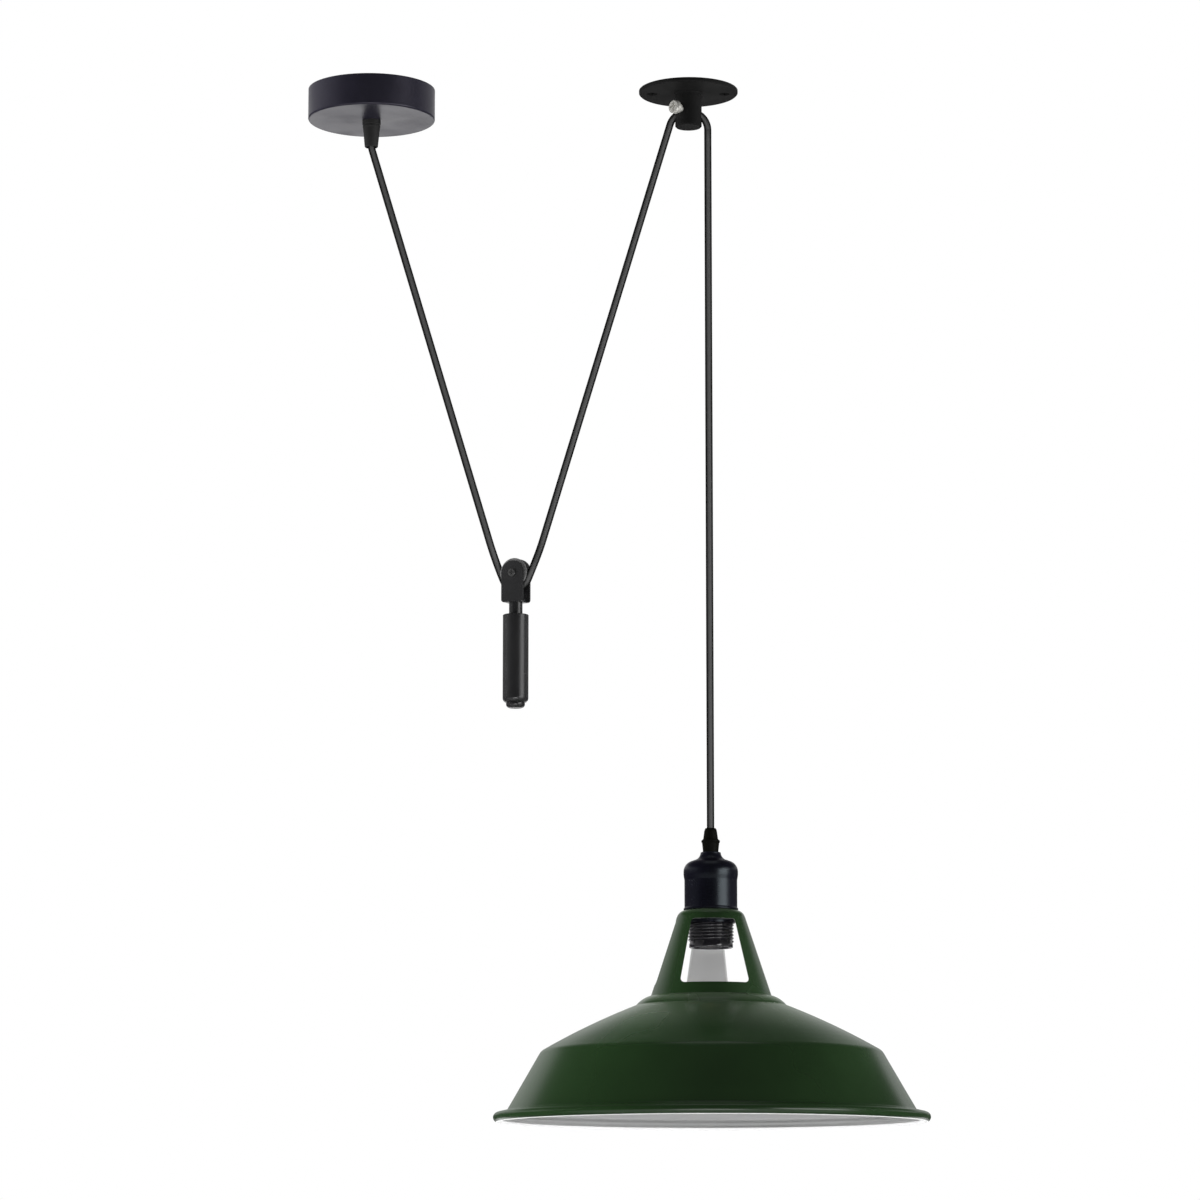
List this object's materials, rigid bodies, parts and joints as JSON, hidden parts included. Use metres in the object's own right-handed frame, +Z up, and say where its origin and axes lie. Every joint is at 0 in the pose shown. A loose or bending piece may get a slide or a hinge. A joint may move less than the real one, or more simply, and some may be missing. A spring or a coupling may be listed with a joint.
{
  "type": "rise and fall pendant lamp",
  "caption": "Green metal shade on a braided cord, raised and lowered through a ceiling hook, with a small counterweight on a pulley and a ceiling canopy.",
  "frame": {"origin": "where the axis of the hook's hub meets the ceiling", "axes": "+Z up with Z = 0 the ceiling; X along the line from the canopy (at -X) to the hook; -Y towards the viewer"},
  "size_m": [0.5065, 0.35, 0.859],
  "materials": {
    "canopy_black": "satin black enamel on pressed steel",
    "hook_black": "satin black enamel",
    "weight_black": "satin black enamel on turned steel",
    "grip_black": "black moulded phenolic, low sheen",
    "holder_black": "glossy black moulded phenolic",
    "shade_green": "glossy dark green enamel outside, light grey enamel inside",
    "cord_braid": "black braided textile over a round sheath",
    "nickel": "nickel plate",
    "zinc_steel": "zinc-plated steel",
    "brass": "plain brass",
    "white_plastic": "white moulded plastic",
    "ceramic": "glazed white ceramic",
    "core_brown": "brown insulation",
    "core_blue": "blue insulation",
    "core_green_yellow": "green and yellow insulation"
  },
  "bodies": {
    "ceiling_fixing": {"canopy_cup": "canopy_black", "canopy_bracket": "zinc_steel", "canopy_nipple": "zinc_steel", "canopy_locknut": "zinc_steel", "canopy_grip_collar": "grip_black", "canopy_grip_cap": "grip_black", "terminal_block": "white_plastic", "terminal_screws": "brass", "earth_screw": "brass", "canopy_live_core": "core_brown", "canopy_neutral_core": "core_blue", "canopy_earth_core": "core_green_yellow", "cord_in_canopy": "cord_braid", "cord_left_leg": "cord_braid", "cord_right_leg": "cord_braid", "cord_over_hook": "cord_braid", "hook_plate": "hook_black", "hook_screws": "hook_black"},
    "clamp_screw": {"clamp_screw": "nickel"},
    "counterweight": {"pulley_yoke": "weight_black", "pulley_axle": "weight_black", "axle_nut": "zinc_steel", "axle_washers": "zinc_steel", "cord_round_pulley": "cord_braid", "weight_rod": "zinc_steel", "weight_stem": "weight_black", "stem_ring": "nickel", "weight_cylinder": "weight_black", "weight_end_nut": "weight_black"},
    "pulley_wheel": {"pulley_wheel": "weight_black", "wheel_bush": "brass"},
    "drop_cord": {"cord_drop": "cord_braid"},
    "lamp": {"lamp_grip_cap": "grip_black", "lamp_grip_body": "grip_black", "lamp_nipple": "zinc_steel", "lamp_locknut": "zinc_steel", "lampholder_cover": "holder_black", "lampholder_dome": "holder_black", "lampholder_skirt": "holder_black", "lampholder_insert": "ceramic", "screw_shell": "brass", "centre_contact": "brass", "lampholder_screws": "brass", "lamp_live_core": "core_brown", "lamp_neutral_core": "core_blue", "lamp_earth_core": "core_green_yellow", "cord_in_lamp": "cord_braid", "shade_ring": "holder_black", "shade": "shade_green"}
  },
  "joints": [
    {"name": "lamp_swing", "type": "hinge", "parent": "ceiling_fixing", "child": "drop_cord", "pos_m": [0.016, 0, -0.034], "axis": [1, 0, 0], "range_deg": [-12, 12]},
    {"name": "lamp_travel", "type": "slide", "parent": "drop_cord", "child": "lamp", "axis": [0, 0, 1], "range_m": [-0.35, 0.18], "deforming": ["cord_drop"]},
    {"name": "counterweight_travel", "type": "slide", "parent": "ceiling_fixing", "child": "counterweight", "axis": [0, 0, 1], "range_m": [-0.1, 0.193], "deforming": ["cord_left_leg", "cord_right_leg"]},
    {"name": "pulley_spin", "type": "hinge", "parent": "counterweight", "child": "pulley_wheel", "pos_m": [-0.14203, 0, -0.4068], "axis": [0.4695, 0.8829, 0], "range_deg": [-800, 420]},
    {"name": "clamp_screw_turn", "type": "hinge", "parent": "ceiling_fixing", "child": "clamp_screw", "pos_m": [0, 0, -0.018], "axis": [-0.6293, -0.7771, 0], "range_deg": [0, 720]}
  ],
  "couplings": [
    {"joint": "counterweight_travel", "follows": "lamp_travel", "ratio": -0.55},
    {"joint": "pulley_spin", "follows": "lamp_travel", "rad_per_m": 39.4}
  ]
}
